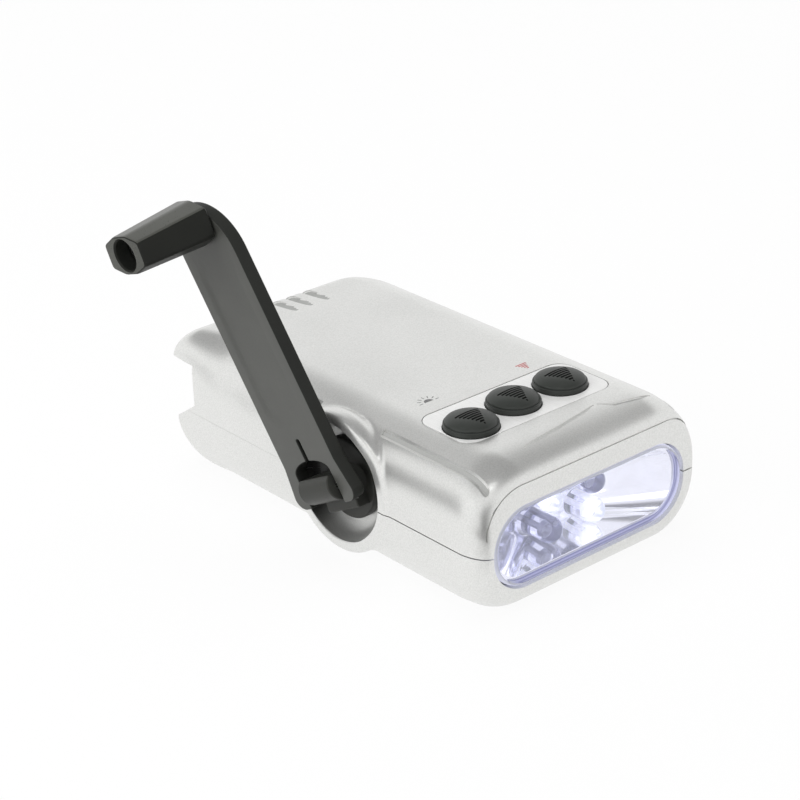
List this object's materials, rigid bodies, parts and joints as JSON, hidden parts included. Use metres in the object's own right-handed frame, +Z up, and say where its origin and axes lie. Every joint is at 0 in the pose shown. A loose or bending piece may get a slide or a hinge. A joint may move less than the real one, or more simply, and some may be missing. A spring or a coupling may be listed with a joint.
{
  "type": "hand crank flashlight",
  "caption": "Flat hand crank flashlight with a wide lens, round rubber keys on top and a fold-out side crank that turns a geared dynamo.",
  "frame": {"origin": "centre of the flat underside of the case", "axes": "+Z up, lens faces -Y, crank on the -X side"},
  "size_m": [0.0812, 0.0904, 0.0667],
  "materials": {
    "silver_paint": "satin silver paint",
    "clear_plastic": "clear",
    "panel": "finely brushed",
    "key_rubber": "matt",
    "steel": "plated",
    "chrome": "mirror",
    "led_clear": "clear",
    "board": "green solder mask",
    "cell": "green sleeve",
    "black_plastic": "satin",
    "grey_plastic": "satin",
    "bronze": "sintered",
    "nylon": "natural nylon",
    "magnet": "ferrite",
    "core": "laminated",
    "copper": "enamelled wire"
  },
  "bodies": {
    "case": {"upper_shell": "silver_paint", "lower_shell": "silver_paint", "front_lens": "clear_plastic", "key_panel": "panel", "case_screw_1": "steel", "case_screw_2": "steel", "case_screw_3": "steel", "case_screw_4": "steel", "led_1": "led_clear", "led_2": "led_clear", "led_3": "led_clear", "led_4": "led_clear", "led_board": "board", "reflector": "chrome", "main_board": "board", "snap_dome_1": "steel", "snap_dome_2": "steel", "snap_dome_3": "steel", "board_screw_1": "steel", "board_screw_2": "steel", "battery_cell_1": "cell", "battery_cell_2": "cell", "battery_cell_3": "cell", "battery_contact_front": "steel", "battery_contact_rear": "steel", "alarm_buzzer": "black_plastic", "stator_core": "core", "coil_bobbin": "nylon", "coil_winding": "copper", "end_bracket": "black_plastic", "gear_plate_outer": "black_plastic", "gear_plate_inner": "black_plastic", "idler_axle": "steel", "hub_bush": "bronze"},
    "crank": {"crank_hub": "black_plastic", "main_gear": "nylon", "shaft_clip": "steel"},
    "arm": {"crank_arm": "grey_plastic", "hinge_pin": "steel", "knob_screw": "steel"},
    "knob": {"crank_knob": "black_plastic"},
    "idler": {"idler_gear": "nylon"},
    "rotor": {"rotor_pinion": "nylon", "rotor_shaft": "steel", "rotor_magnet": "magnet"},
    "key_1": {"key_1": "key_rubber"},
    "key_2": {"key_2": "key_rubber"},
    "key_3": {"key_3": "key_rubber"}
  },
  "joints": [
    {"name": "crank_spin", "type": "hinge", "parent": "case", "child": "crank", "pos_m": [-0.027, -0.0064, 0.0147], "axis": [1, 0, 0], "continuous": true},
    {"name": "arm_fold", "type": "hinge", "parent": "crank", "child": "arm", "pos_m": [-0.02997, -0.0064, 0.0147], "axis": [0, -0.8878, 0.4602], "range_deg": [0, 172.86]},
    {"name": "knob_spin", "type": "hinge", "parent": "arm", "child": "knob", "pos_m": [-0.04559, 0.01765, 0.0611], "axis": [-0.9922, -0.0572, -0.1104], "continuous": true},
    {"name": "idler_spin", "type": "hinge", "parent": "case", "child": "idler", "pos_m": [-0.016, 0.00668, 0.0147], "axis": [1, 0, 0], "continuous": true},
    {"name": "rotor_spin", "type": "hinge", "parent": "case", "child": "rotor", "pos_m": [-0.014, 0.01826, 0.0147], "axis": [1, 0, 0], "continuous": true},
    {"name": "key_1_press", "type": "slide", "parent": "case", "child": "key_1", "axis": [0, 0, -1], "range_m": [0, 0.0008], "stiffness_N_per_m": 300},
    {"name": "key_2_press", "type": "slide", "parent": "case", "child": "key_2", "axis": [0, 0, -1], "range_m": [0, 0.0008], "stiffness_N_per_m": 300},
    {"name": "key_3_press", "type": "slide", "parent": "case", "child": "key_3", "axis": [0, 0, -1], "range_m": [0, 0.0008], "stiffness_N_per_m": 300}
  ],
  "couplings": [
    {"joint": "idler_spin", "follows": "crank_spin", "ratio": -4.2},
    {"joint": "rotor_spin", "follows": "crank_spin", "ratio": 15.12}
  ]
}
